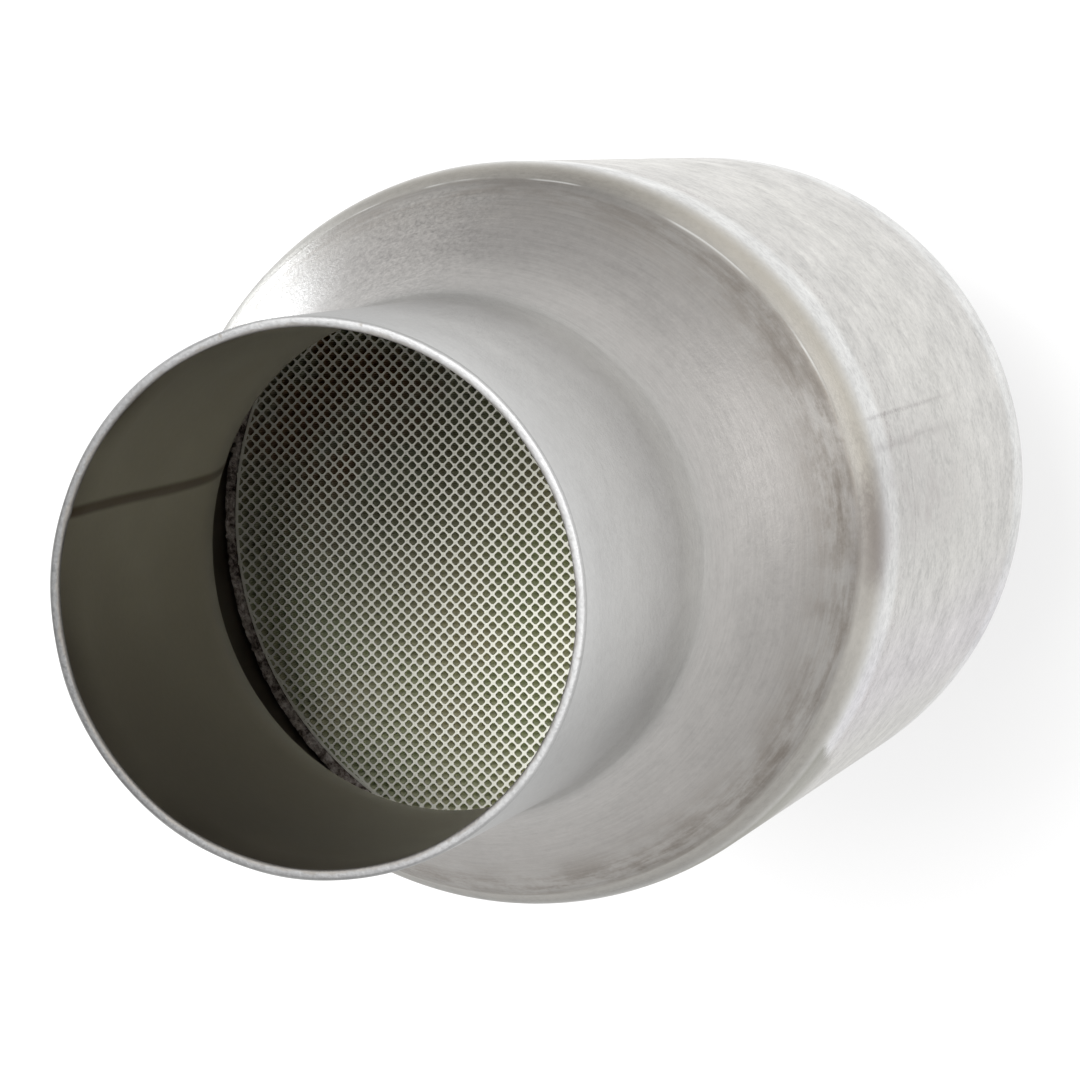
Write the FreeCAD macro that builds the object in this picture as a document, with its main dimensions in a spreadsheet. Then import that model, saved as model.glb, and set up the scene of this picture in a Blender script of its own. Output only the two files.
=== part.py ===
import FreeCAD, Part
import Sketcher
import math
import os

# Round catalytic converter: a spun stainless shell, a mat and a ceramic honeycomb brick.
# The axis is Z. The part stands on its outlet neck, with the origin at the centre of that
# neck's rim. All lengths are in millimetres and all angles in degrees.

Vector = FreeCAD.Vector

# Driving dimensions: one row of the sheet each, as alias, value and meaning.
SIZES = {
    "overall_length": (273.0, "from rim to rim"),
    "can_diameter": (101.6, "outside of the can"),
    "can_length": (101.0, "straight part of the can"),
    "wall": (1.3, "sheet thickness of the shell"),
    "neck_bore": (64.0, "inside of each neck"),
    "cone_angle": (33.0, "slope of the cones from the axis"),
    "shoulder_radius": (13.0, "outside radius where the can turns into a cone"),
    "throat_radius": (38.0, "outside radius where a cone turns into its neck"),
    "rim_chamfer": (0.3, "deburred edges of the neck rims"),
    "seam_turn": (206.3, "place of the lengthwise weld about the axis"),
    "seam_arc": (2.8, "angle that the weld bead takes up"),
    "seam_height": (0.2, "how far the weld bead stands into the shell"),
    "mat_thickness": (1.6, "fibre mat between the shell and the brick"),
    "mat_setback": (0.5, "how far each end of the mat lies behind the brick's end"),
    "fit_gap": (0.25, "clearance of the mat to the shell and to the brick"),
    "brick_recess": (14.5, "how far each end of the brick lies inside the straight can"),
    "skin": (1.0, "thickness of the brick's outer skin"),
    "channel_pitch": (5.08, "spacing of the channels, four real cells to one"),
    "web": (1.1, "wall between two channels"),
}

# Sizes that follow from them, as expressions on the sheet.
HALF_LENGTH = "Dims.overall_length / 2"
CAN_RADIUS = "Dims.can_diameter / 2"
NECK_RADIUS = "(Dims.neck_bore / 2 + Dims.wall)"
BRICK_RADIUS = f"({CAN_RADIUS} - Dims.wall - Dims.mat_thickness - 2 * Dims.fit_gap)"
BRICK_LENGTH = "(Dims.can_length - 2 * Dims.brick_recess)"
CORE_RADIUS = f"({BRICK_RADIUS} - Dims.skin)"
CHANNEL_SIDE = "(Dims.channel_pitch - Dims.web)"
CHANNEL_STEPS = f"floor({CORE_RADIUS} / Dims.channel_pitch + 0.5)"

ROOT_OVERLAP = 0.3  # how deep an added piece of metal or ceramic reaches into its carrier

doc = FreeCAD.newDocument("catalytic_converter")
sheet = doc.addObject("Spreadsheet::Sheet", "Dims")
for row, (alias, (number, meaning)) in enumerate(SIZES.items(), start=1):
    sheet.set(f"A{row}", str(number))
    sheet.setAlias(f"A{row}", alias)
    sheet.set(f"B{row}", meaning)
doc.recompute()


def value(expression):
    """The present value of an expression on the sheet."""
    return float(sheet.evalExpression(expression))


# ---------------------------------------------------------------- helpers

def origin_feature(body, role):
    """An origin plane or axis of a body, found by its role."""
    return next(f for f in body.Origin.OriginFeatures if f.Role == role)


def new_body(label):
    """A body whose local origin is the middle of the part's length."""
    body = doc.addObject("PartDesign::Body", label)
    body.Label = label
    body.setExpression("Placement.Base.z", HALF_LENGTH)
    return body


def new_sketch(body, name, role):
    """An empty sketch on one of the body's own origin planes."""
    sketch = body.newObject("Sketcher::SketchObject", name)
    sketch.AttachmentSupport = [(origin_feature(body, role), "")]
    sketch.MapMode = "FlatFace"
    return sketch


def constrain(sketch, *constraints):
    """Geometric constraints of a sketch, each given as a tuple."""
    for constraint in constraints:
        sketch.addConstraint(Sketcher.Constraint(*constraint))


def dimension(sketch, name, expression, *constraint):
    """A named length in a sketch, driven by an expression on the sheet."""
    index = sketch.addConstraint(Sketcher.Constraint(*constraint, value(expression)))
    sketch.renameConstraint(index, name)
    sketch.setExpression(f"Constraints.{name}", expression)


def add_circle(sketch, name, expression):
    """A circle about the sketch's origin, of the radius that an expression gives."""
    circle = Part.Circle(Vector(), Vector(0, 0, 1), value(expression))
    index = sketch.addGeometry(circle, False)
    constrain(sketch, ("Coincident", index, 3, -1, 1))
    dimension(sketch, name, expression, "Radius", index)


def add_pad(body, sketch, name, length):
    """A pad of a sketch, equally long on both sides of its plane."""
    pad = body.newObject("PartDesign::Pad", name)
    pad.Profile = sketch
    pad.Midplane = True
    pad.setExpression("Length", length)
    return pad


def add_revolution(body, sketch, name, angle):
    """A revolution of a sketch about the body's axis, spread evenly about its plane."""
    revolution = body.newObject("PartDesign::Revolution", name)
    revolution.Profile = sketch
    revolution.ReferenceAxis = (sketch, ["V_Axis"])
    revolution.Midplane = True
    revolution.setExpression("Angle", f"({angle}) * 1 deg")
    return revolution


def circles_at(shape, height):
    """Names of the full circles of a shape that lie at a height."""
    names = []
    for index, edge in enumerate(shape.Edges, start=1):
        box = edge.BoundBox
        if box.ZLength < 1e-6 and abs(box.ZMin - height) < 1e-6 and isinstance(edge.Curve, Part.Circle):
            names.append(f"Edge{index}")
    return names


# ---------------------------------------------------------------- shell

def draw_wall(sketch, outside, inside, short):
    """The closed half section of a strip of the shell's wall, from mid length up to the rim.

    outside and inside are the depths of the strip's two faces below the shell's outer face,
    and short is how far below the rim the strip ends, all three as expressions. Each face
    runs up the can, over the shoulder, up the cone, through the throat and up the neck.
    """
    slope = math.radians(value("Dims.cone_angle"))
    shoulder_radius = value("Dims.shoulder_radius")
    throat_radius = value("Dims.throat_radius")
    half_can = value("Dims.can_length / 2")
    end = value(f"{HALF_LENGTH} - ({short})")
    down_slope = Vector(math.cos(slope), math.sin(slope), 0)

    # The cone touches the shoulder's and the throat's arcs, which gives the throat's height.
    shoulder = Vector(value(CAN_RADIUS) - shoulder_radius, half_can, 0)
    throat_x = value(NECK_RADIUS) + throat_radius
    reach = shoulder_radius + throat_radius
    cone_run = (shoulder.x + reach * down_slope.x - throat_x) / math.sin(slope)
    throat_y = shoulder.y + reach * down_slope.y + cone_run * math.cos(slope)
    throat = Vector(throat_x, throat_y, 0)

    def draw_face(depth):
        """Five tangent pieces of one face, from the can to the rim."""
        turn = shoulder_radius - depth
        flare = throat_radius + depth
        can_x = value(CAN_RADIUS) - depth
        neck_x = value(NECK_RADIUS) - depth
        up = Vector(0, 0, 1)
        pieces = (
            Part.LineSegment(Vector(can_x, 0, 0), Vector(can_x, half_can, 0)),
            Part.ArcOfCircle(Part.Circle(shoulder, up, turn), 0, slope),
            Part.LineSegment(shoulder + down_slope * turn, throat - down_slope * flare),
            Part.ArcOfCircle(Part.Circle(throat, up, flare), math.pi, math.pi + slope),
            Part.LineSegment(Vector(neck_x, throat.y, 0), Vector(neck_x, end, 0)),
        )
        can, bend, cone, flaring, neck = [sketch.addGeometry(piece, False) for piece in pieces]
        constrain(
            sketch,
            ("Tangent", can, 2, bend, 1),
            ("Tangent", bend, 2, cone, 1),
            ("Tangent", cone, 2, flaring, 2),
            ("Tangent", flaring, 1, neck, 1),
            ("Vertical", can),
            ("Vertical", neck),
            ("PointOnObject", can, 1, -1),
        )
        return can, bend, cone, flaring, neck

    can_out, bend_out, cone_out, flare_out, neck_out = draw_face(value(outside))
    can_in, bend_in, _, flare_in, neck_in = draw_face(value(inside))
    rim_ends = [sketch.getPoint(neck_out, 2), sketch.getPoint(neck_in, 2)]
    foot_ends = [sketch.getPoint(can_out, 1), sketch.getPoint(can_in, 1)]
    rim = sketch.addGeometry(Part.LineSegment(*rim_ends), False)
    foot = sketch.addGeometry(Part.LineSegment(*foot_ends), False)
    constrain(
        sketch,
        ("Coincident", rim, 1, neck_out, 2),
        ("Coincident", rim, 2, neck_in, 2),
        ("Coincident", foot, 1, can_out, 1),
        ("Coincident", foot, 2, can_in, 1),
        ("Coincident", bend_in, 3, bend_out, 3),
        ("Coincident", flare_in, 3, flare_out, 3),
        ("Horizontal", rim),
    )

    dimension(sketch, "can_radius", f"{CAN_RADIUS} - ({outside})", "DistanceX", -1, 1, can_out, 1)
    dimension(sketch, "half_can", "Dims.can_length / 2", "DistanceY", -1, 1, bend_out, 3)
    dimension(sketch, "half_length", f"{HALF_LENGTH} - ({short})", "DistanceY", -1, 1, neck_out, 2)
    dimension(sketch, "neck_radius", f"{NECK_RADIUS} - ({outside})", "DistanceX", -1, 1, neck_out, 2)
    dimension(sketch, "depth", f"({inside}) - ({outside})", "DistanceX", can_in, 1, can_out, 1)
    dimension(sketch, "shoulder", f"Dims.shoulder_radius - ({outside})", "Radius", bend_out)
    dimension(sketch, "throat", f"Dims.throat_radius + ({outside})", "Radius", flare_out)
    dimension(sketch, "throat_inside", f"Dims.throat_radius + ({inside})", "Radius", flare_in)
    turn = sketch.addConstraint(Sketcher.Constraint("Angle", cone_out, math.pi / 2 + slope))
    sketch.renameConstraint(turn, "slope")
    sketch.setExpression("Constraints.slope", "(90 + Dims.cone_angle) * 1 deg")


def make_shell():
    """One tube, spun down at both ends to a cone and a neck, with its lengthwise weld."""
    body = new_body("shell")
    body.Placement.Rotation = FreeCAD.Rotation(Vector(0, 0, 1), value("Dims.seam_turn"))
    body.setExpression("Placement.Rotation.Angle", "Dims.seam_turn * 1 deg")

    section = new_sketch(body, "wall_section", "XZ_Plane")
    draw_wall(section, "0", "Dims.wall", "0")
    tube = add_revolution(body, section, "spun_half", "360")
    doc.recompute()

    deburring = body.newObject("PartDesign::Chamfer", "rim_edges")
    deburring.Base = (tube, circles_at(tube.Shape, value(HALF_LENGTH)))
    deburring.setExpression("Size", "Dims.rim_chamfer")
    body.Tip = deburring

    bead_section = new_sketch(body, "weld_section", "XZ_Plane")
    bead_root = f"Dims.wall - {ROOT_OVERLAP}"
    bead_crown = "Dims.wall + Dims.seam_height"
    draw_wall(bead_section, bead_root, bead_crown, "Dims.rim_chamfer")
    bead = add_revolution(body, bead_section, "weld_half", "Dims.seam_arc")

    other_half = body.newObject("PartDesign::Mirrored", "other_half")
    other_half.TransformMode = "Whole shape"
    other_half.BaseFeature = bead
    other_half.MirrorPlane = (origin_feature(body, "XY_Plane"), [""])
    body.Tip = other_half
    return body


# ---------------------------------------------------------------- mat and brick

def make_mat():
    """The fibre mat that is wrapped round the brick and holds it in the can."""
    body = new_body("support_mat")
    section = new_sketch(body, "mat_section", "XY_Plane")
    add_circle(section, "outside", f"{CAN_RADIUS} - Dims.wall - Dims.fit_gap")
    add_circle(section, "inside", f"{BRICK_RADIUS} + Dims.fit_gap")
    add_pad(body, section, "sleeve", f"{BRICK_LENGTH} - 2 * Dims.mat_setback")
    return body


def make_brick():
    """The extruded ceramic block: a grid of square channels, closed in by a round skin."""
    body = new_body("ceramic_brick")
    core_section = new_sketch(body, "core_section", "XY_Plane")
    add_circle(core_section, "core", CORE_RADIUS)
    add_pad(body, core_section, "core", BRICK_LENGTH)

    # The first channel is the one at the left end of the middle row.
    left_text = f"{CHANNEL_STEPS} * Dims.channel_pitch + {CHANNEL_SIDE} / 2"
    side = value(CHANNEL_SIDE)
    left = -value(left_text)
    cell = new_sketch(body, "channel_section", "XY_Plane")
    corners = [Vector(left, -side / 2, 0), Vector(left + side, -side / 2, 0),
               Vector(left + side, side / 2, 0), Vector(left, side / 2, 0)]
    for start, end in zip(corners, corners[1:] + corners[:1]):
        cell.addGeometry(Part.LineSegment(start, end), False)
    for edge in range(4):
        constrain(cell, ("Coincident", edge, 2, (edge + 1) % 4, 1),
                  ("Vertical" if edge % 2 else "Horizontal", edge))
    dimension(cell, "width", CHANNEL_SIDE, "DistanceX", 0, 1, 0, 2)
    dimension(cell, "height", CHANNEL_SIDE, "DistanceY", 1, 1, 1, 2)
    dimension(cell, "left", left_text, "DistanceX", 0, 1, -1, 1)
    dimension(cell, "low", f"{CHANNEL_SIDE} / 2", "DistanceY", 0, 1, -1, 1)

    channel = body.newObject("PartDesign::Pocket", "channel")
    channel.Profile = cell
    channel.Type = "ThroughAll"
    channel.Midplane = True

    grid = body.newObject("PartDesign::MultiTransform", "channel_grid")
    grid.Originals = [channel]
    row = body.newObject("PartDesign::LinearPattern", "along_row")
    row.Direction = (origin_feature(body, "X_Axis"), [""])
    row.setExpression("Length", f"2 * {CHANNEL_STEPS} * Dims.channel_pitch")
    row.setExpression("Occurrences", f"2 * {CHANNEL_STEPS} + 1")
    column = body.newObject("PartDesign::LinearPattern", "up_column")
    column.Direction = (origin_feature(body, "Y_Axis"), [""])
    column.setExpression("Length", f"{CHANNEL_STEPS} * Dims.channel_pitch")
    column.setExpression("Occurrences", f"{CHANNEL_STEPS} + 1")
    lower_half = body.newObject("PartDesign::Mirrored", "lower_half")
    lower_half.MirrorPlane = (origin_feature(body, "XZ_Plane"), [""])
    grid.Transformations = [row, column, lower_half]
    body.Tip = grid

    skin_section = new_sketch(body, "skin_section", "XY_Plane")
    add_circle(skin_section, "outside", BRICK_RADIUS)
    add_circle(skin_section, "inside", f"{CORE_RADIUS} - {ROOT_OVERLAP}")
    body.Tip = add_pad(body, skin_section, "skin", BRICK_LENGTH)
    return body


# ---------------------------------------------------------------- build and write

bodies = [make_shell(), make_mat(), make_brick()]
doc.recompute()

for thing in doc.Objects:
    if "Invalid" in thing.State or "Error" in thing.State:
        raise RuntimeError(f"{thing.Label} could not be built: {thing.State}")

for body in bodies:
    if body.Shape.isNull() or not body.Shape.isValid() or len(body.Shape.Solids) != 1:
        raise RuntimeError(f"{body.Label} is not one sound solid")

os.makedirs("parts", exist_ok=True)
for body in bodies:
    body.Shape.exportStep(f"parts/{body.Label}.step")
    print(f"{body.Label}: {body.Shape.Volume / 1000:.1f} cm3, {len(body.Shape.Faces)} faces")
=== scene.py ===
import bmesh
import bpy
import math
from mathutils import Euler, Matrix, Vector, noise
from types import SimpleNamespace


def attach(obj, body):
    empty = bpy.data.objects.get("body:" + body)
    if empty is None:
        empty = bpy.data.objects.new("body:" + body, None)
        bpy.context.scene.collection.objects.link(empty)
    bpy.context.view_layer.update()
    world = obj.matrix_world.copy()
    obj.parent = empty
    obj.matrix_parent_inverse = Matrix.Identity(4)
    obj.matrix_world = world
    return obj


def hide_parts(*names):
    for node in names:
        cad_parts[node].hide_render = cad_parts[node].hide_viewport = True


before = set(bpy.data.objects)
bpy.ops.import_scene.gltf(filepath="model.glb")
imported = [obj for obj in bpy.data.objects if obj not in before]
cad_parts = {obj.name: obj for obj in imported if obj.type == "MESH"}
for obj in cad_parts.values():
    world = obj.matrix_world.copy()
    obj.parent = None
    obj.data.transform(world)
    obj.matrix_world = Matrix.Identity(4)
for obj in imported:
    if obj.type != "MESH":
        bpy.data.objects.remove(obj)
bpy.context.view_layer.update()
scene = bpy.context.scene
mm = 0.001
perDegree = math.pi / 180.0
white = (1.0, 1.0, 1.0)
print("frame loaded")

viewSettings = {
    "cameraPlace": (79.3, 153.6, 735.2),     # mm
    "cameraTurn": (-5.446, 16.456, 44.565),  # degrees
    "lens": 140.4,
    "sensor": 36.0,
}

lightSettings = {
    "floorColour": (0.9, 0.9, 0.9),
    "floorRoughness": 0.9,
    "floorReach": 4.0,      # m from the middle to each side
    "floorShadow": 0.45,    # how much of the floor's own shading the camera sees
    "lamps": {
        # name: place in mm, aim in mm, width and depth in mm, power in W, colour
        "overhead": ((-215, 130, 1260), (0, 0, 150), 420, 420, 11.5, white),
        "side": ((500, 1080, 160), (0, 0, 190), 900, 600, 2.2, white),
        "low": ((-380, -120, 14), (-38, 0, 200), 120, 70, 0.5, (0.9, 0.95, 1.0)),
    },
}


def addCamera(settings):
    data = bpy.data.cameras.new("camera")
    data.lens = settings["lens"]
    data.sensor_width = settings["sensor"]
    data.clip_start = 0.01
    camera = bpy.data.objects.new("camera", data)
    camera.location = Vector(settings["cameraPlace"]) * mm
    camera.rotation_euler = Euler([turn * perDegree for turn in settings["cameraTurn"]])
    scene.collection.objects.link(camera)
    scene.camera = camera


def addLamp(name, place, aim, width, depth, power, colour):
    data = bpy.data.lights.new(name, "AREA")
    data.color = colour
    data.shape = "RECTANGLE"
    data.size = width * mm
    data.size_y = depth * mm
    data.energy = power
    lamp = bpy.data.objects.new(name, data)
    lamp.visible_camera = False
    lamp.location = Vector(place) * mm
    lamp.rotation_euler = (Vector(aim) - Vector(place)).to_track_quat("-Z", "Y").to_euler()
    scene.collection.objects.link(lamp)


class Value:
    # one socket of a node tree: arithmetic on it adds Math nodes

    def __init__(self, tree, socket):
        self.tree = tree
        self.socket = socket

    def __add__(self, other):
        return self.tree.math("ADD", self, other)

    def __sub__(self, other):
        return self.tree.math("SUBTRACT", self, other)

    def __mul__(self, other):
        return self.tree.math("MULTIPLY", self, other)

    def __truediv__(self, other):
        return self.tree.math("DIVIDE", self, other)

    def __rsub__(self, other):
        return self.tree.math("SUBTRACT", other, self)

    __radd__ = __add__
    __rmul__ = __mul__


class NodeTree:
    # a node tree being built: node() adds any node, the other methods are short forms of it

    def __init__(self, data):
        self.data = data

    def put(self, socket, value):
        # a list gives one socket several links
        for part in value if isinstance(value, list) else [value]:
            if isinstance(part, Value):
                self.data.links.new(part.socket, socket)
            else:
                socket.default_value = part

    def node(self, kind, settings=None, values=None, output=0):
        made = self.data.nodes.new(kind)
        for name, setting in (settings or {}).items():
            if name == "stops":
                setStops(made.color_ramp.elements, setting)
            else:
                setattr(made, name, setting)
        for key, value in (values or {}).items():
            self.put(made.inputs[key], value)
        return Value(self, made.outputs[output]) if made.outputs else None

    def math(self, operation, *values):
        return self.node("ShaderNodeMath", {"operation": operation}, dict(enumerate(values)))

    def distance(self, x, y):
        return self.math("SQRT", x * x + y * y)

    def vector(self, x, y, z):
        return self.node("ShaderNodeCombineXYZ", None, {0: x, 1: y, 2: z})

    def parts(self, vector):
        return [self.node("ShaderNodeSeparateXYZ", None, {0: vector}, axis) for axis in range(3)]


def setStops(elements, stops):
    while len(elements) < len(stops):
        elements.new(0.5)
    for element, (position, colour) in zip(elements, stops):
        element.position = position
        element.color = opaque(colour)


def opaque(colour):
    return colour if isinstance(colour, Value) else (*colour, 1.0)


class Shader(NodeTree):
    # a material being built

    def __init__(self, name):
        self.material = bpy.data.materials.new(name)
        self.material.use_nodes = True
        super().__init__(self.material.node_tree)
        self.data.nodes.clear()

    def noise(self, vector, scale=1.0, detail=2.0, roughness=0.5):
        return self.node("ShaderNodeTexNoise", {"noise_dimensions": "3D"},
                         {"Vector": vector, "Scale": scale, "Detail": detail, "Roughness": roughness}, "Fac")

    def rise(self, value, start, end, low=0.0, high=1.0):
        # smooth step from low at start to high at end
        return self.node("ShaderNodeMapRange", {"interpolation_type": "SMOOTHSTEP"},
                         {"Value": value, "From Min": start, "From Max": end, "To Min": low, "To Max": high})

    def fall(self, value, start, end):
        return self.rise(value, start, end, 1.0, 0.0)

    def band(self, value, centre, width):
        # 1 at the centre, falling smoothly to 0 at width either side
        return self.fall(self.math("ABSOLUTE", value - centre), 0.0, width)

    def span(self, value, start, full, fade, end):
        # 1 between full and fade, 0 before start and after end
        return self.rise(value, start, full) * self.fall(value, fade, end)

    def ramp(self, value, stops):
        return self.node("ShaderNodeValToRGB", {"stops": stops}, {"Fac": value}, "Color")

    def blend(self, factor, first, second, mode="MIX"):
        # sockets 6, 7 and output 2 of a Mix node are its colours
        return self.node("ShaderNodeMix", {"data_type": "RGBA", "blend_type": mode},
                         {0: factor, 6: opaque(first), 7: opaque(second)}, 2)

    def tint(self, factor, colour, stain):
        return self.blend(factor, colour, stain, "MULTIPLY")

    def shade(self, colour, tone):
        return self.tint(1.0, colour, self.vector(tone, tone, tone))

    def bump(self, height, strength, distance, below=None):
        values = {"Strength": strength, "Distance": distance * mm, "Height": height}
        if below:
            values["Normal"] = below
        return self.node("ShaderNodeBump", None, values)

    def surface(self, colour, roughness, normal=None, metallic=1.0, specular=0.5):
        values = {"Base Color": opaque(colour), "Roughness": roughness,
                  "Metallic": metallic, "Specular IOR Level": specular}
        if normal:
            values["Normal"] = normal
        return self.node("ShaderNodeBsdfPrincipled", None, values)

    def finish(self, surface):
        self.node("ShaderNodeOutputMaterial", None, {"Surface": surface})
        return self.material


class PlacedShader(Shader):
    # also has a point's object coordinates in mm, as a place and as x, y and z

    def __init__(self, name):
        super().__init__(name)
        coordinates = self.node("ShaderNodeTexCoord", output="Object")
        self.place = self.node("ShaderNodeVectorMath", {"operation": "SCALE"},
                               {0: coordinates, "Scale": 1 / mm})
        self.x, self.y, self.z = self.parts(self.place)


class TubeShader(PlacedShader):
    # also has a point's place on the tube: radius and height above mid length in mm, turn in degrees

    def __init__(self, name, sizes):
        super().__init__(name)
        self.radius = self.distance(self.x, self.y)
        self.turn = self.math("ARCTAN2", self.y, self.x) / perDegree
        self.height = self.z - sizes["halfLength"]
        self.up = self.math("ABSOLUTE", self.height)

    def facing(self, side):
        # 1 on the side at that turn, falling to -1 opposite
        return self.math("COSINE", (self.turn - side) * perDegree)


def floorPaint(settings):
    # white to the camera, apart from some shadow, and in reflections; plain paint to all other rays
    shader = Shader("floor")
    paint = shader.surface(settings["floorColour"], settings["floorRoughness"], metallic=0.0, specular=0.2)
    glow = shader.node("ShaderNodeEmission", None, {"Color": opaque(white), "Strength": 1.0})
    camera, glossy, transmission = [shader.node("ShaderNodeLightPath", output=name)
                                    for name in ("Is Camera Ray", "Is Glossy Ray", "Is Transmission Ray")]
    mirrored = shader.math("MAXIMUM", glossy, transmission)
    seen = shader.math("MAXIMUM", camera * (1.0 - settings["floorShadow"]), mirrored)
    return shader.finish(shader.node("ShaderNodeMixShader", None, {0: seen, 1: paint, 2: glow}))


def addFloor(settings):
    mesh = bmesh.new()
    bmesh.ops.create_grid(mesh, x_segments=1, y_segments=1, size=settings["floorReach"])
    floor = finishPiece("floor", mesh, [floorPaint(settings)])


def addWorld():
    world = bpy.data.worlds.new("studio")
    world.use_nodes = True
    background = world.node_tree.nodes["Background"]
    background.inputs["Color"].default_value = opaque(white)
    background.inputs["Strength"].default_value = 1.0
    scene.world = world


def finishPiece(name, mesh, materials):
    data = bpy.data.meshes.new(name)
    mesh.to_mesh(data)
    mesh.free()
    piece = bpy.data.objects.new(name, data)
    for material in materials:
        data.materials.append(material)
    scene.collection.objects.link(piece)
    return piece


def evenAngles(count):
    return [2 * math.pi * step / count for step in range(count)]


def ringPoint(radius, height, angle):
    return Vector((math.cos(angle) * radius, math.sin(angle) * radius, height))


def joinRings(mesh, rings, slots=None):
    # closes a loop of vertex rings into one smooth surface
    for index, ring in enumerate(rings):
        following = rings[(index + 1) % len(rings)]
        for step in range(len(ring)):
            after = (step + 1) % len(ring)
            face = mesh.faces.new((ring[step], ring[after], following[after], following[step]))
            face.material_index = slots[index] if slots else 0
            face.smooth = True
    bmesh.ops.recalc_face_normals(mesh, faces=mesh.faces)


# all in mm and degrees, heights from mid length
shellSizes = {
    "halfLength": 136.5,
    "canRadius": 50.8,
    "halfCan": 50.5,
    "wall": 1.3,
    "neckRadius": 33.3,
    "coneAngle": 33.0,
    "shoulderRadius": 13.0,
    "throatRadius": 38.0,
    "rimRounding": 0.4,
    "rimWave": 0.12,
    "rimWaveReach": 3.0,
    "ridgeHeight": 0.12,
    "ridgeWidth": 0.35,
    "ridgeLift": 0.45,          # above the end of the shoulder
    "ridgeReach": 1.5,
    "seamAngle": 206.3,
    "seamHeight": 0.1,
    "seamWidth": 0.7,
    "seamWander": ((0.9, 24.0, 95.0), (0.25, 7.0, 0.0)),  # degrees, length of the wave, start of the wave
    "stepsRound": 330,
    "seamStep": 0.3,
    "seamSteps": 12,            # to each side of the seam
    "canSteps": 5,
    "arcSteps": 12,
    "neckSteps": 6,
    "rimSteps": 4,
    "coneRows": (0.15, 0.3, 0.45, 0.6, 0.75, 0.9, 1.1, 3.0, 6.0, 9.0, 12.0, 15.0),
    "coneRowsGap": 0.5,         # left free at the end of the cone
}

outsideSlot, insideSlot, rimSlot = 0, 1, 2


def wallLine(sizes, depth):
    # (radius, height) up one face of the wall, depth below the outer face
    slope = sizes["coneAngle"] * perDegree
    along = (math.cos(slope), math.sin(slope))
    shoulder = (sizes["canRadius"] - sizes["shoulderRadius"], sizes["halfCan"])
    throatX = sizes["neckRadius"] + sizes["throatRadius"]
    reach = sizes["shoulderRadius"] + sizes["throatRadius"]
    run = (shoulder[0] + reach * along[0] - throatX) / along[1]
    throatY = shoulder[1] + reach * along[1] + run * along[0]
    turn = sizes["shoulderRadius"] - depth
    flare = sizes["throatRadius"] + depth
    arc = [slope * step / sizes["arcSteps"] for step in range(sizes["arcSteps"] + 1)]
    steps = sizes["canSteps"]
    line = [(sizes["canRadius"] - depth, sizes["halfCan"] * step / steps) for step in range(steps)]
    line += [(shoulder[0] + turn * math.cos(angle), shoulder[1] + turn * math.sin(angle)) for angle in arc]
    start = line[-1]
    end = (throatX - flare * along[0], throatY - flare * along[1])
    length = math.dist(start, end)
    for distance in sizes["coneRows"]:
        if distance < length - sizes["coneRowsGap"]:
            share = distance / length
            line.append((start[0] + (end[0] - start[0]) * share, start[1] + (end[1] - start[1]) * share))
    line += [(throatX - flare * math.cos(angle), throatY - flare * math.sin(angle))
             for angle in reversed(arc)]
    top = sizes["halfLength"] - sizes["rimRounding"]
    steps = sizes["neckSteps"]
    line += [(sizes["neckRadius"] - depth, throatY + (top - throatY) * step / steps)
             for step in range(1, steps + 1)]
    return line


def rimArc(sizes, centre, start):
    # a quarter turn over one edge of the rim, without its first point
    rounding = sizes["rimRounding"]
    height = sizes["halfLength"] - rounding
    steps = sizes["rimSteps"]
    angles = [(start + 90 * step / steps) * perDegree for step in range(1, steps + 1)]
    return [(centre + rounding * math.cos(angle), height + rounding * math.sin(angle)) for angle in angles]


def shellLoop(sizes):
    # ((radius, height), inside, slot) all round the section of the tube's wall
    rounding = sizes["rimRounding"]
    outer = wallLine(sizes, 0.0)
    inner = wallLine(sizes, sizes["wall"])
    outerRim = rimArc(sizes, sizes["neckRadius"] - rounding, 0)
    innerRim = rimArc(sizes, sizes["neckRadius"] - sizes["wall"] + rounding, 90)
    half = [(point, False, outsideSlot) for point in outer]
    half += [(point, False, rimSlot) for point in outerRim + innerRim[:1]]
    half += [(point, True, rimSlot) for point in innerRim[1:-1]]        # its last point is the wall's
    half += [(point, True, insideSlot) for point in reversed(inner)]
    lower = [((point[0], -point[1]), inside, slot) for point, inside, slot in reversed(half)]
    return half[:-1] + lower[:-1]


def shellAngles(sizes):
    # even steps round the tube, with finer ones at the seam
    count = sizes["stepsRound"]
    reach = sizes["seamSteps"]
    angles = {round(360 * step / count, 4) for step in range(count)}
    angles |= {round(sizes["seamAngle"] + step * sizes["seamStep"], 4) for step in range(-reach, reach + 1)}
    return [math.radians(angle) for angle in sorted(angles)]


def seamShift(sizes, height):
    # how far the seam wanders round the tube, in degrees
    return sum(reach * math.sin((height - start) / wave) for reach, wave, start in sizes["seamWander"])


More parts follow.
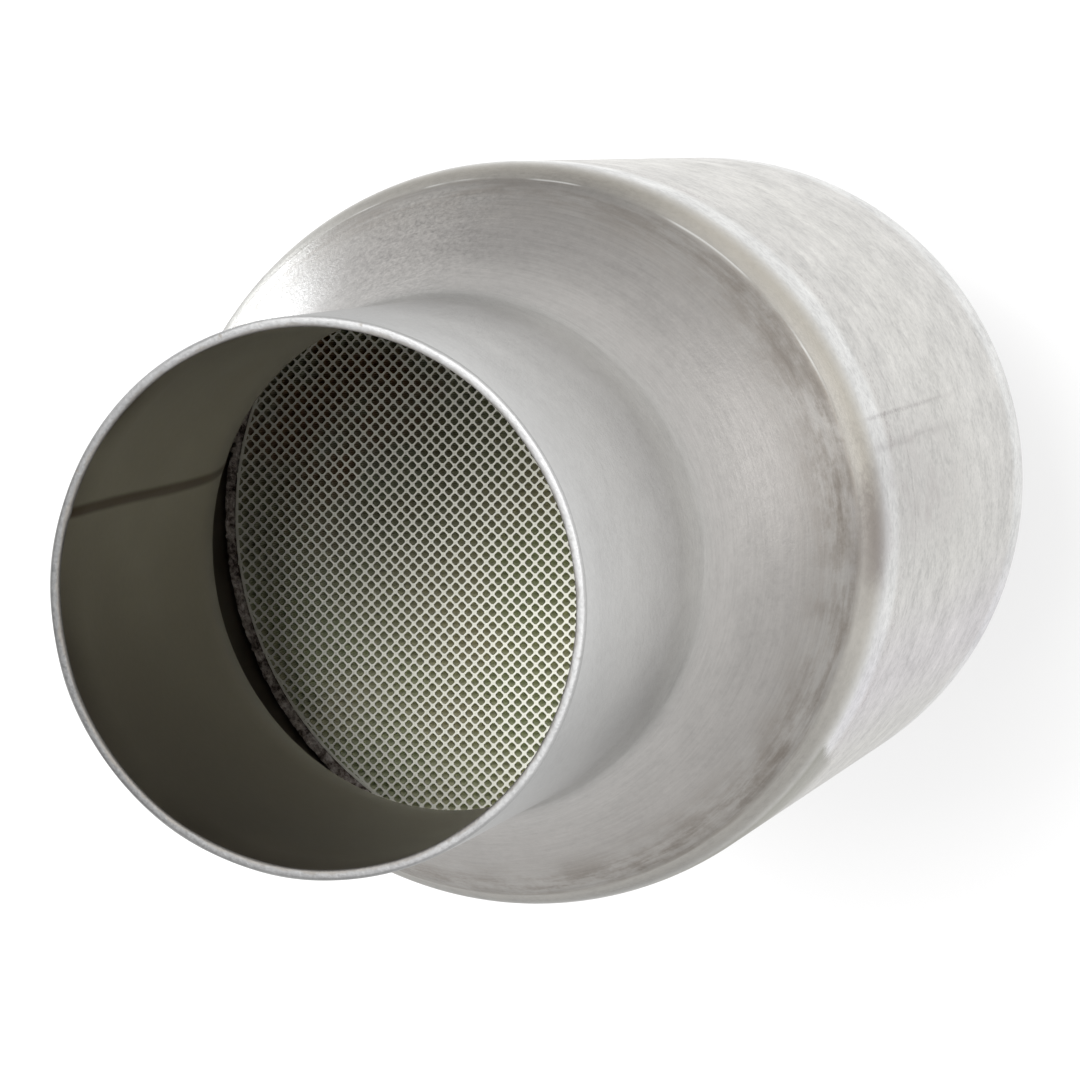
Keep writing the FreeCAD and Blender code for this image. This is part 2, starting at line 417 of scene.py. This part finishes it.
def shellPoint(sizes, radius, height, angle, inside):
    # a point of the shell's surface, with the ridge, the seam and the rim's unevenness
    direction = Vector((math.cos(angle), math.sin(angle), 0.0))
    middle = sizes["halfLength"]
    up = abs(height)
    shoulderEnd = sizes["halfCan"] + sizes["shoulderRadius"] * math.sin(sizes["coneAngle"] * perDegree)
    fromRidge = up - shoulderEnd - sizes["ridgeLift"]
    if inside:
        offset = math.degrees(angle) - sizes["seamAngle"] - seamShift(sizes, height)
        arc = offset * perDegree * radius
        ripple = 0.8 + 0.4 * noise.noise(Vector((0.0, 0.0, height * 0.6)))
        radius -= sizes["seamHeight"] * ripple * math.exp(-(arc / sizes["seamWidth"]) ** 2)
    elif abs(fromRidge) < sizes["ridgeReach"]:
        wear = 0.55 + 0.9 * noise.noise(direction * 5.0 + Vector((0, 0, height)))
        shape = math.exp(-(fromRidge / sizes["ridgeWidth"]) ** 2)
        radius += sizes["ridgeHeight"] * max(0.0, min(1.0, wear)) * shape
    share = (up - middle) / sizes["rimWaveReach"] + 1.0
    if share > 0.0:
        wave = sizes["rimWave"] * share
        radius += wave * (noise.noise(direction * 3.0 + Vector((7, 3, height))) - 0.35)
        up -= wave * abs(noise.noise(direction * 4.0 + Vector((2, 9, height))))
        height = math.copysign(up, height)
    return Vector((direction.x * radius, direction.y * radius, height + middle)) * mm


def makeShell(sizes, materials):
    loop = shellLoop(sizes)
    angles = shellAngles(sizes)
    mesh = bmesh.new()
    rings = [[mesh.verts.new(shellPoint(sizes, radius, height, angle, inside)) for angle in angles]
             for (radius, height), inside, slot in loop]
    slots = [max(loop[index][2], loop[(index + 1) % len(loop)][2]) for index in range(len(loop))]
    joinRings(mesh, rings, slots)
    return finishPiece("shell_tube", mesh, materials)


outsideSettings = {
    # colours up the half length: share of it, colour; the steel's own tones, with a painted highlight band at
    # the top of the can (0.335 to 0.38) and painted light and shade where the cone turns into the throat (0.6
    # to 0.72)
    "tone": [
        (0.00, (0.66, 0.65, 0.625)),
        (0.31, (0.65, 0.64, 0.62)),
        (0.335, (0.74, 0.74, 0.73)),
        (0.38, (0.72, 0.72, 0.71)),
        (0.405, (0.55, 0.53, 0.49)),
        (0.421, (0.50, 0.48, 0.445)),
        (0.43, (0.385, 0.37, 0.35)),
        (0.50, (0.376, 0.36, 0.345)),
        (0.60, (0.428, 0.415, 0.40)),
        (0.618, (0.408, 0.40, 0.385)),
        (0.626, (0.353, 0.345, 0.33)),
        (0.66, (0.358, 0.35, 0.335)),
        (0.72, (0.377, 0.37, 0.36)),
        (0.85, (0.444, 0.44, 0.43)),
        (1.00, (0.46, 0.46, 0.455)),
    ],
    "darkest": 0.45,        # the least brightness, as a share of that colour
    "heatStain": (0.67, 0.64, 0.61),
    "handStain": (0.80, 0.75, 0.66),
    "darkStain": (0.50, 0.47, 0.48),
    "coolTint": (0.985, 0.965, 1.02),
    # colour of the painted dark reflection strip up the can
    "strip": (0.22, 0.21, 0.16),
    # colour of the painted glint along the burr
    "burrGlint": (0.80, 0.80, 0.78),
    "roughness": 0.4,
    # noises: stretch round the tube and along it, scale, detail, roughness
    "stretchedNoises": {
        "rings": (5.0, 2.8, 1.0, 4.0, 0.65),
        "broadRings": (5.0, 0.6, 1.0, 4.0, 0.6),
        "cloud": (2.0, 0.03, 1.0, 3.0, 0.5),
        "streaks": (34.0, 0.05, 0.5, 4.0, 0.6),
    },
    "breaks": (4.0, 3.7, 1.0, 2.0, 0.4),   # the same, but with one level instead of a stretch along it
    # scale, detail, roughness
    "evenNoises": {
        "grain": (1.9, 3.0, 0.65),
        "sand": (0.85, 4.0, 0.7),
        "blotch": (0.16, 4.0, 0.62),
    },
    # how much each noise changes the brightness of all, and how much more of some parts
    "toneNoises": {
        "cloud": {"all": 0.12},
        "blotch": {"all": 0.2, "can": 0.5},
        "grain": {"all": 0.16, "can": 0.2},
        "rings": {"cone": 0.30},
        "broadRings": {"cone": 0.22},
        "sand": {"all": 0.3, "can": 0.5},
    },
    # noise, strength, distance in mm
    "bumps": (("rings", 0.35, 0.06), ("sand", 0.35, 0.10), ("grain", 0.45, 0.09)),
    # sides, in degrees round the tube: the neck's and the can's painted lit sides, and the side where the
    # heat stains are strongest
    "neckPaintedLitSide": 72.0,
    "canPaintedLitSide": 105.0,
    "stainSide": 25.0,
    # middle and half width: turns in degrees, ups in mm from mid length, heights in mm from the lower end
    "paintedConeShadeTurn": (128.0, 34.0),
    "throatUp": (79.0, 8.0),
    "shoulderShadeUp": (56.0, 4.5),
    "backShoulderShadeUp": (54.0, 3.5),
    "sparkleTurn": (150.0, 26.0),
    "coolTurn": (20.0, 18.0),
    "heatUp": (60.6, 8.8),
    "secondHeatUp": (60.0, 4.0),
    "handHeight": (191.5, 4.0),
    "patchTurn": (47.0, 16.0),
    "patchHeight": (191.5, 6.5),
    "streakTurn": (52.0, 17.0),
    "lineTurn": (63.8, 0.6),
    "secondLineTurn": (59.0, 1.3),
    "hoopHeight": (169.2, 0.7),
    "hoopTurn": (56.0, 56.0),
    "smudgeHeight": (177.0, 3.4),
    "burrUp": (57.9, 0.3),
    # start and end of a smooth step, in the same units
    "markedHeight": (116.5, 156.5),   # handling marks lie above
    "onCanUp": (49.5, 54.5),
    "onNeckUp": (80.0, 88.0),
    "paintedConeShadeUp": (70.0, 78.0),
    "backTurn": (-22.0, 2.0),
    "sparkleUp": (58.0, 61.0),
    "pastBurrUp": (57.4, 58.4),
    "smudgeTurn": (-20.0, 20.0),
    "stripTurn": (-40.0, -15.0),
    # start, full, fade and end
    "onConeUp": (55.5, 58.5, 86.0, 93.0),
    "litTurn": (0.0, 42.0, 95.0, 125.0),
    "handTurn": (20.0, 60.0, 150.0, 175.0),
    "stripHeight": (160.0, 187.0, 189.0, 191.0),
    "burrTurn": (66.0, 78.0, 150.0, 180.0),
    # the painted reflection strip's edge: height in mm where it is at turn 0, degrees per mm
    "stripStart": 155.0,
    "stripSlope": 0.34,
    # strengths
    # painted light: the neck paler towards its lit side and darker elsewhere, the can paler towards its lit
    # side
    "neckPaintedLight": (0.48, -0.17),
    "canPaintedLight": 0.08,
    "pits": 0.32,
    "scratches": 0.08,
    # painted shade on the cone's darker band
    "paintedConeShade": (0.22, 0.05),
    # painted light on the throat's lit side
    "throat": 0.12,
    # painted shade on the shoulder, front and back
    "shoulder": 0.36,
    "backShoulderShade": 0.22,
    "cool": 0.8,
    "heat": 0.85,
    "secondHeat": 0.5,
    "hand": 0.4,
    "patch": 0.9,
    "streak": 0.8,
    "line": 0.5,
    "hoop": 0.45,
    "smudge": 0.5,
    "stripStrength": 0.7,
    "burrGlintStrength": 0.7,
}


def makeNoises(shader, settings):
    # the noises by name: some run round the tube or along it, some are the same all ways
    across, along = shader.x / shader.radius, shader.y / shader.radius
    made = {}
    for name, (around, lengthwise, *look) in settings["stretchedNoises"].items():
        stretched = shader.vector(across * around, along * around, shader.z * lengthwise)
        made[name] = shader.noise(stretched, *look)
    around, level, *look = settings["breaks"]
    made["breaks"] = shader.noise(shader.vector(across * around, along * around, level), *look)
    for name, look in settings["evenNoises"].items():
        made[name] = shader.noise(shader.place, *look)
    return SimpleNamespace(**made)


def findAreas(shader, settings):
    # 1 on an area, 0 off it
    return SimpleNamespace(
        marked=shader.rise(shader.z, *settings["markedHeight"]),
        can=shader.fall(shader.up, *settings["onCanUp"]),
        cone=shader.span(shader.up, *settings["onConeUp"]),
        neck=shader.rise(shader.up, *settings["onNeckUp"]))


def steelTone(shader, noises, areas, settings):
    # brightness: each part's painted lit side, its noises, pits and scratches, painted shade bands on the
    # cone and the shoulder, painted light on the throat and a painted glint speckle on the cone
    up, turn = shader.up, shader.turn
    gain, offset = settings["neckPaintedLight"]
    # painted light: the neck and the can are paler towards their lit sides
    paintedLitSide = shader.rise(shader.facing(settings["neckPaintedLitSide"]), 0.45, 0.92)
    tone = 1.0 + areas.neck * (paintedLitSide * gain + offset)
    tone = tone + areas.can * shader.facing(settings["canPaintedLitSide"]) * settings["canPaintedLight"]
    weighted = {"all": 1.0, "can": areas.can, "cone": areas.cone}
    for name, weights in settings["toneNoises"].items():
        strength = sum(weighted[area] * weight for area, weight in weights.items())
        tone = tone + (getattr(noises, name) - 0.5) * strength
    pits = shader.rise(noises.sand, 0.56, 0.70) * shader.rise(noises.blotch, 0.38, 0.6)
    tone = tone - pits * (0.25 + areas.can * 0.75) * settings["pits"]
    tone = tone - shader.rise(noises.rings, 0.60, 0.70) * areas.can * settings["scratches"]
    # painted shade: a darker band on the cone round turn 128, weaker towards the throat
    paintedConeShade = shader.rise(up, *settings["paintedConeShadeUp"], *settings["paintedConeShade"])
    tone = tone - shader.band(turn, *settings["paintedConeShadeTurn"]) * areas.cone * paintedConeShade
    # painted light on the throat's lit side
    tone = tone + paintedLitSide * shader.band(up, *settings["throatUp"]) * settings["throat"]
    # painted shade: the shoulder darker outside its lit turns, and more on its back
    unlit = 1.0 - shader.span(turn, *settings["litTurn"])
    tone = tone - shader.band(up, *settings["shoulderShadeUp"]) * unlit * settings["shoulder"]
    back = shader.fall(turn, *settings["backTurn"])
    tone = tone - shader.band(up, *settings["backShoulderShadeUp"]) * back * settings["backShoulderShade"]
    sparkle = shader.band(turn, *settings["sparkleTurn"]) * shader.rise(up, *settings["sparkleUp"])
    tone = tone + sparkle * areas.cone * ((noises.sand - 0.5) * 0.3 + noises.grain - 0.5)
    return shader.math("MAXIMUM", tone, settings["darkest"])


def heatStains(shader, noises, settings):
    # how strong the two brown heat stains at the shoulder end of the cone are
    side = shader.rise(shader.facing(settings["stainSide"]), -0.4, 0.9)
    pastBurr = shader.rise(shader.up, *settings["pastBurrUp"])
    mottle = shader.rise(noises.blotch + noises.broadRings * 0.7 + noises.sand * 0.4, 0.80, 1.3)
    first = shader.band(shader.up, *settings["heatUp"]) * pastBurr * (0.45 + side * 0.75) * mottle
    ringed = shader.rise(noises.broadRings + (noises.grain - 0.5) * 0.3, 0.42, 0.64)
    second = shader.band(shader.up, *settings["secondHeatUp"]) * pastBurr * ringed * settings["secondHeat"]
    return first, second


def handlingMarks(shader, noises, areas, settings, colour):
    # a dull tint and a dark patch on the shoulder, then dirt on the can
    turn, z = shader.turn, shader.z
    hand = shader.band(z, *settings["handHeight"]) * shader.span(turn, *settings["handTurn"]) * areas.marked
    colour = shader.tint(hand * settings["hand"], colour, settings["handStain"])
    edge = (noises.blotch - 0.5) * 30.0 + (noises.grain - 0.5) * 8.0
    patch = shader.band(turn + edge * 0.6, *settings["patchTurn"])
    patch = patch * shader.band(z + edge * 0.1, *settings["patchHeight"])
    colour = shader.tint(patch * settings["patch"], colour, settings["darkStain"])

    # a lengthwise streak, two thin lines beside it, a hoop round the can and a smudge
    onCan = areas.can * areas.marked
    streak = shader.band(turn + edge * 0.2, *settings["streakTurn"]) * onCan
    streak = streak * (0.2 + shader.rise(noises.blotch + noises.sand * 0.25, 0.55, 0.85) * 0.6)
    wander = noises.blotch - 0.5
    line = shader.band(turn + wander * 0.5, *settings["lineTurn"]) * shader.rise(noises.grain, 0.35, 0.6)
    second = shader.band(turn + wander * 1.5, *settings["secondLineTurn"])
    line = (line + second * shader.rise(noises.streaks, 0.4, 0.6) * 0.5) * onCan
    hoop = shader.band(z + wander * 1.2, *settings["hoopHeight"]) * shader.band(turn, *settings["hoopTurn"])
    hoop = hoop * shader.rise(noises.grain, 0.4, 0.6)
    smudge = shader.band(z, *settings["smudgeHeight"]) * shader.rise(turn, *settings["smudgeTurn"])
    smudge = smudge * shader.rise(noises.blotch + noises.grain, 1.02, 1.18)
    dirt = streak * settings["streak"] + line * settings["line"]
    dirt = dirt + hoop * settings["hoop"] + smudge * settings["smudge"]
    return shader.tint(shader.math("MINIMUM", dirt, 1.0), colour, settings["darkStain"])


def paintedReflectionStrip(shader, noises, settings):
    # how strong the painted dark olive reflection up the can is
    slant = shader.turn - (shader.z - settings["stripStart"]) * settings["stripSlope"]
    strip = shader.fall(slant + (noises.sand - 0.5) * 4.0, -1.0, 1.5)
    strip = strip * shader.rise(shader.turn, *settings["stripTurn"])
    return strip * shader.span(shader.z, *settings["stripHeight"]) * settings["stripStrength"]


def paintedBurrGlint(shader, noises, areas, settings):
    # how bright the painted glint is along the broken burr that the spinning tool left
    burrGlint = shader.band(shader.up + (noises.cloud - 0.5) * 0.8, *settings["burrUp"])
    burrGlint = burrGlint * shader.span(shader.turn, *settings["burrTurn"])
    return burrGlint * shader.rise(noises.breaks, 0.38, 0.52) * areas.marked


def outsideSteel(sizes, settings):
    shader = TubeShader("spun_steel", sizes)
    noises = makeNoises(shader, settings)
    areas = findAreas(shader, settings)
    colour = shader.ramp(shader.up / sizes["halfLength"], settings["tone"])
    colour = shader.shade(colour, steelTone(shader, noises, areas, settings))
    cool = shader.band(shader.turn, *settings["coolTurn"]) * areas.can * settings["cool"]
    colour = shader.tint(cool, colour, settings["coolTint"])
    heat, secondHeat = heatStains(shader, noises, settings)
    colour = shader.tint(heat * settings["heat"], colour, settings["heatStain"])
    colour = shader.tint(secondHeat, colour, settings["heatStain"])
    colour = handlingMarks(shader, noises, areas, settings, colour)
    # painted reflection: a dark olive strip up the can
    colour = shader.blend(paintedReflectionStrip(shader, noises, settings), colour, settings["strip"])
    # painted highlight: a bright broken line along the burr, whose ridge itself is in the mesh
    burrGlint = paintedBurrGlint(shader, noises, areas, settings)
    colour = shader.blend(burrGlint * settings["burrGlintStrength"], colour, settings["burrGlint"])
    rough = settings["roughness"] + (noises.grain - 0.5) * 0.3 + (noises.blotch - 0.5) * 0.18
    rough = rough + heat * 0.1 - burrGlint * 0.1 + areas.can * 0.14
    normal = None
    for name, strength, distance in settings["bumps"]:
        normal = shader.bump(getattr(noises, name), strength, distance, normal)
    return shader.finish(shader.surface(colour, rough, normal))


insideSettings = {
    "dark": (0.172, 0.155, 0.124),
    "pale": (0.232, 0.209, 0.168),
    "seam": (0.05, 0.026, 0.008),
    "seamEdges": (0.2975, 1.0625),  # where the seam's stain starts and ends to fade, in mm
    "paleTurn": (138.0, 17.0),      # middle and half width, in degrees
    "paleHeight": (232.0, 262.0),   # mm
    "roughness": 0.45,
}


def insideSteel(sizes, settings):
    shader = TubeShader("inside_steel", sizes)
    cloud = shader.noise(shader.place, scale=0.06, detail=4.0)
    grain = shader.noise(shader.place, scale=1.2, detail=3.0)
    base = shader.blend(cloud + (grain - 0.5) * 0.3, settings["dark"], settings["pale"])
    pale = shader.band(shader.turn, *settings["paleTurn"]) * shader.rise(shader.z, *settings["paleHeight"])
    base = shader.shade(base, 1.0 + pale)
    slow, quick = [shader.math("SINE", (shader.height - start) / wave) * reach
                   for reach, wave, start in sizes["seamWander"]]
    offset = shader.turn - (sizes["seamAngle"] - 360.0) - (slow + quick)
    arc = shader.math("ABSOLUTE", offset) * shader.radius * perDegree + (cloud - 0.5) * 0.5
    colour = shader.blend(shader.fall(arc, *settings["seamEdges"]), base, settings["seam"])
    rough = settings["roughness"] + (cloud - 0.5) * 0.2
    return shader.finish(shader.surface(colour, rough, shader.bump(grain, 0.2, 0.05)))


rimSettings = {
    "metal": (0.27, 0.27, 0.27),
    "scorch": (0.17, 0.15, 0.125),
    "outerEdge": (0.46, 0.46, 0.455),
    # painted light: the turn of the rim's paler, lit side
    "paintedLitSide": 69.9,               # degrees
    "innerRadius": (32.5, 32.15),   # where the scorched edge starts and is full, in mm
    "outerRadius": (32.9, 33.25),
    "roughness": 0.6,
}


def rimSteel(sizes, settings):
    shader = TubeShader("cut_rim_steel", sizes)
    spots = shader.noise(shader.place, scale=0.4, detail=4.0, roughness=0.6)
    grain = shader.noise(shader.place, scale=2.2, detail=3.0)
    # painted light: the rim paler towards its lit side
    tone = 1.0 + shader.facing(settings["paintedLitSide"]) * 0.48 + (grain - 0.5) * 0.5
    colour = shader.shade(settings["metal"], tone)
    inner = shader.rise(shader.radius + (spots - 0.5) * 1.2, *settings["innerRadius"])
    scorched = shader.math("MAXIMUM", inner * 0.45, shader.rise(spots, 0.64, 0.74) * 0.6)
    colour = shader.blend(scorched, colour, settings["scorch"])
    outer = shader.rise(shader.radius, *settings["outerRadius"])
    colour = shader.blend(outer * 0.8, colour, settings["outerEdge"])
    return shader.finish(shader.surface(colour, settings["roughness"], shader.bump(grain, 0.5, 0.1)))


# all in mm
matSizes = {
    "outer": 49.2,
    "inner": 47.75,
    "top": 171.95,
    "bottom": 101.05,
    "crumbDepth": 1.12,
    "stepsAcross": 6,
    "stepsRound": 720,
}


def makeMat(sizes, materials):
    # crumbled end faces and plain sides
    mesh = bmesh.new()
    width = sizes["outer"] - sizes["inner"]
    steps = sizes["stepsAcross"]
    across = [sizes["inner"] + width * step / steps for step in range(steps + 1)]
    loop = [(radius, sizes["top"], -1) for radius in across]
    loop += [(radius, sizes["bottom"], 1) for radius in reversed(across)]
    rings = []
    for radius, height, inward in loop:
        ring = []
        for angle in evenAngles(sizes["stepsRound"]):
            place = ringPoint(radius, height, angle)
            crumbs = abs(noise.noise(place * 0.9)) + 0.5 * abs(noise.noise(place * 2.3))
            place.z += inward * sizes["crumbDepth"] * crumbs
            ring.append(mesh.verts.new(place * mm))
        rings.append(ring)
    joinRings(mesh, rings)
    return finishPiece("fibre_mat", mesh, materials)


matSettings = {
    "tone": [(0.36, (0.02, 0.016, 0.013)), (0.44, (0.15, 0.12, 0.105)),
             (0.50, (0.38, 0.33, 0.30)), (0.60, (0.72, 0.67, 0.63))],
    "flecks": 0.6,          # share of the fine flecks, the rest is clumps
    "roughness": 0.95,
    "specular": 0.2,
}


def fibreMat(settings):
    shader = PlacedShader("fibre_mat")
    flecks = shader.noise(shader.place, scale=0.9, detail=4.0, roughness=0.7)
    clumps = shader.noise(shader.place, scale=0.28, detail=3.0, roughness=0.6)
    mix = flecks * settings["flecks"] + clumps * (1.0 - settings["flecks"])
    return shader.finish(shader.surface(
        shader.ramp(mix, settings["tone"]), settings["roughness"], shader.bump(flecks, 0.8, 0.5),
        metallic=0.0, specular=settings["specular"]))


# all in mm
brickSizes = {
    "radius": 47.38,
    "skin": 0.45,
    "skinEdge": 0.12,       # chamfer
    "top": 172.5,
    "bottom": 100.5,
    "pitch": 1.27,
    "web": 0.27,
    "corner": 0.2,
    "sunk": 0.02,           # webs below the skin's end faces
    "step": 0.02,           # from one set of webs to the next
    "stepsRound": 360,
}


def makeSkin(sizes):
    # the plain skin, as the base that the honeycomb tree joins to
    mesh = bmesh.new()
    outer, edge = sizes["radius"], sizes["skinEdge"]
    inner = outer - sizes["skin"]
    top, bottom = sizes["top"], sizes["bottom"]
    loop = [(outer, bottom + edge), (outer, top - edge), (outer - edge, top),
            (inner, top), (inner, bottom), (outer - edge, bottom)]
    joinRings(mesh, [[mesh.verts.new(ringPoint(radius, height, angle) * mm)
                      for angle in evenAngles(sizes["stepsRound"])] for radius, height in loop])
    return finishPiece("honeycomb_brick", mesh, [])


class GeometryTree(NodeTree):
    # a Geometry Nodes tree being built, with named inputs

    def __init__(self, name, inputs):
        super().__init__(bpy.data.node_groups.new(name, "GeometryNodeTree"))
        for label, kind in {"Geometry": "NodeSocketGeometry", **inputs}.items():
            self.data.interface.new_socket(name=label, in_out="INPUT", socket_type=kind)
        self.data.interface.new_socket(name="Geometry", in_out="OUTPUT", socket_type="NodeSocketGeometry")

    def given(self, *labels):
        return [self.node("NodeGroupInput", output=label) for label in labels]

    def move(self, geometry, **values):
        return self.node("GeometryNodeTransform", None, {"Geometry": geometry, **values})

    def copies(self, points, instance, **values):
        return self.node("GeometryNodeInstanceOnPoints", None,
                         {"Points": points, "Instance": instance, **values})

    def realize(self, geometry):
        return self.node("GeometryNodeRealizeInstances", None, {0: geometry})


def honeycombTree():
    # thin webs both ways across the skin, and a pillar that fills the corners at each crossing
    tree = GeometryTree("honeycomb", {
        "Radius": "NodeSocketFloat", "Pitch": "NodeSocketFloat", "Web": "NodeSocketFloat",
        "Corner": "NodeSocketFloat", "Length": "NodeSocketFloat", "Middle": "NodeSocketFloat",
        "Step": "NodeSocketFloat", "Webs": "NodeSocketInt", "Material": "NodeSocketMaterial"})
    skin, radius, pitch, web, corner = tree.given("Geometry", "Radius", "Pitch", "Web", "Corner")
    length, middle, step, webs, material = tree.given("Length", "Middle", "Step", "Webs", "Material")
    x, y = tree.parts(tree.node("GeometryNodeInputPosition"))[:2]
    span = (webs - 1.0) * pitch

    # one set of webs, each as long as the circle is there, and the same set turned and a step shorter
    line = tree.node("GeometryNodeMeshLine", None, {
        "Count": webs, "Start Location": tree.vector(0.0, span * -0.5, middle),
        "Offset": tree.vector(0.0, pitch, 0.0)})
    chord = tree.math("SQRT", tree.math("MAXIMUM", radius * radius - y * y, 1e-9)) * 2.0
    slab = tree.node("GeometryNodeMeshCube", None, {"Size": tree.vector(1.0, web, length)}, "Mesh")
    plates = tree.realize(tree.copies(line, slab, Scale=tree.vector(chord, 1.0, 1.0)))
    shrink = (length - step) / length
    crossing = tree.move(plates, Rotation=(0.0, 0.0, math.pi / 2), Scale=tree.vector(1.0, 1.0, shrink),
                         Translation=tree.vector(0.0, 0.0, middle * (1.0 - shrink)))

    # a pillar at each crossing inside the circle
    grid = tree.node("GeometryNodeMeshGrid", None, {
        "Size X": span, "Size Y": span, "Vertices X": webs, "Vertices Y": webs}, "Mesh")
    outside = tree.math("GREATER_THAN", tree.distance(x, y), radius)
    grid = tree.node("GeometryNodeDeleteGeometry", {"domain": "POINT"},
                     {"Geometry": grid, "Selection": outside})
    grid = tree.move(grid, Translation=tree.vector(0.0, 0.0, middle))
    pillar = tree.node("GeometryNodeMeshCylinder", {"fill_type": "NGON"}, {
        "Vertices": 4, "Radius": web + corner, "Depth": length - step * 2.0}, "Mesh")
    pillars = tree.copies(grid, pillar)

    joined = tree.node("GeometryNodeJoinGeometry", None, {0: [skin, plates, crossing, pillars]})
    real = tree.realize(joined)
    flat = tree.node("GeometryNodeSetShadeSmooth", None, {"Geometry": real, "Shade Smooth": False})
    painted = tree.node("GeometryNodeSetMaterial", None, {"Geometry": flat, "Material": material})
    tree.node("NodeGroupOutput", None, {0: painted})
    return tree.data


def runTree(piece, group, values):
    # sets the named inputs, evaluates once and keeps the plain mesh
    modifier = piece.modifiers.new("nodes", "NODES")
    modifier.node_group = group
    for item in group.interface.items_tree:
        if item.in_out == "INPUT" and item.name in values:
            modifier[item.identifier] = values[item.name]
    evaluated = piece.evaluated_get(bpy.context.evaluated_depsgraph_get())
    mesh = bpy.data.meshes.new_from_object(evaluated)
    piece.modifiers.remove(modifier)
    piece.data = mesh


def makeBrick(sizes, material):
    piece = makeSkin(sizes)
    reach = sizes["radius"] - sizes["skin"] / 2
    top, bottom = sizes["top"], sizes["bottom"]
    runTree(piece, honeycombTree(), {
        "Radius": reach * mm, "Pitch": sizes["pitch"] * mm, "Web": sizes["web"] * mm,
        "Corner": sizes["corner"] * mm, "Length": (top - bottom - sizes["sunk"] * 2) * mm,
        "Middle": (top + bottom) / 2 * mm, "Step": sizes["step"] * mm,
        "Webs": 2 * math.floor(reach / sizes["pitch"] + 0.5), "Material": material})
    return piece


ceramicSettings = {
    "edge": (0.85, 0.85, 0.755),    # worn end faces of the webs
    "wall": (0.82, 0.80, 0.62),     # coated walls of the cells
    "wallGreen": (0.76, 0.79, 0.58),
    "wornDepth": (0.1, 0.5),        # mm below the end face
    # brown: partly a stain, partly painted shade on the side that the neck shades
    "brown": (0.60, 0.33, 0.16),
    "brownPlace": (-38.0, -10.0),   # mm
    "brownReach": (8.0, 27.0),
    "brownHeight": (136.0, 150.0),
    # painted shade near the brown place, where the neck shades the brick
    "paintedShadeReach": (8.0, 44.0),
    "paintedShade": 0.34,
    "half": 36.0,
    "middle": 136.5,
    "roughness": 0.85,
    "specular": 0.3,
}


def coatedCeramic(settings):
    shader = PlacedShader("coated_ceramic")
    x, y, z = shader.x, shader.y, shader.z
    cloud = shader.noise(shader.place, scale=0.07, detail=2.0)
    patches = shader.noise(shader.vector(x, y, z * 0.1), scale=0.12, detail=3.0, roughness=0.6)
    grain = shader.noise(shader.place, scale=3.0, detail=2.0)
    wall = shader.blend(shader.rise(cloud, 0.35, 0.65), settings["wall"], settings["wallGreen"])
    depth = settings["half"] - shader.math("ABSOLUTE", z - settings["middle"])
    base = shader.blend(shader.rise(depth, *settings["wornDepth"]), settings["edge"], wall)

    # brown patches, partly stain and partly painted shade, and painted shade near one side, weaker on the
    # worn edges
    middleX, middleY = settings["brownPlace"]
    away = shader.distance(x - middleX, y - middleY)
    brown = shader.fall(away, *settings["brownReach"]) * shader.rise(patches, 0.38, 0.62)
    brown = brown * shader.rise(z, *settings["brownHeight"])
    brown = brown * shader.rise(depth, *settings["wornDepth"], 0.12, 1.0)
    base = shader.blend(brown * 0.8, base, settings["brown"])
    paintedShade = shader.fall(away, *settings["paintedShadeReach"]) * shader.rise(depth, *settings["wornDepth"], 0.35, 1.0)
    colour = shader.shade(base, (0.92 + grain * 0.16) * (1.0 - paintedShade * settings["paintedShade"]))
    return shader.finish(shader.surface(
        colour, settings["roughness"], shader.bump(grain, 0.3, 0.05),
        metallic=0.0, specular=settings["specular"]))


addCamera(viewSettings)
addWorld()
for lampName, lampValues in lightSettings["lamps"].items():
    addLamp(lampName, *lampValues)
addFloor(lightSettings)
scene.view_settings.view_transform = "Standard"
print("camera, floor and light set")

shell = makeShell(shellSizes, [
    outsideSteel(shellSizes, outsideSettings), insideSteel(shellSizes, insideSettings),
    rimSteel(shellSizes, rimSettings)])
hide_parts("shell")
print("shell made,", len(shell.data.polygons), "faces")

mat = makeMat(matSizes, [fibreMat(matSettings)])
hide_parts("support_mat")
print("mat made,", len(mat.data.polygons), "faces")

brick = makeBrick(brickSizes, coatedCeramic(ceramicSettings))
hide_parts("ceramic_brick")
print("brick made,", len(brick.data.polygons), "faces")

for piece in (shell, mat, brick):
    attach(piece, "root")

bpy.context.view_layer.update()
